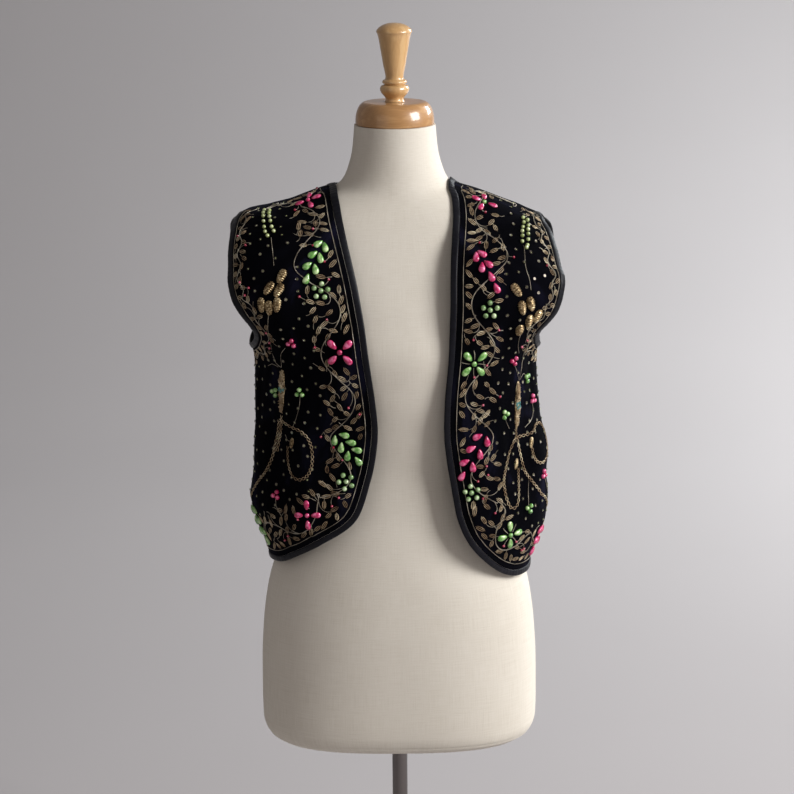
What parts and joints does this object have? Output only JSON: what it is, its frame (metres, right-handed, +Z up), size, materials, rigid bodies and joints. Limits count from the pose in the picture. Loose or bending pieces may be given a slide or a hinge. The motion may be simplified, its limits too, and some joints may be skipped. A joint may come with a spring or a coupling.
{
  "type": "embroidered velvet vest on a limbless dress form",
  "caption": "Short open-front black velvet vest with rounded fronts, satin bindings and raised bead and gold embroidery, on a linen dress form with a wooden neck cap, finial and steel stand.",
  "frame": {"origin": "centre of the base's underside, on the floor", "axes": "+Z up along the pole, -Y towards the vest's open front, +X towards the wearer's left"},
  "size_m": [0.4226, 0.32, 1.3524],
  "materials": {
    "velvet": "black velvet, soft nap",
    "satin": "charcoal navy satin",
    "linen": "off-white linen, fine weave",
    "wood": "honey lacquer, glossy",
    "chrome": "bright plating",
    "steel": "satin",
    "gold": "antique gold coil and sequins, sewn on",
    "pearl": "pearl-lacquered beads, pink and green, sewn on"
  },
  "bodies": {
    "root": {"front_right": "velvet", "front_left": "velvet", "back": "velvet", "binding_front_right": "satin", "binding_front_left": "satin", "binding_armhole_right": "satin", "binding_armhole_left": "satin", "binding_back_neck": "satin", "binding_back_hem": "satin", "torso": "linen", "neck_cap": "wood", "finial": "wood", "pole": "chrome", "base": "steel"}
  },
  "joints": []
}
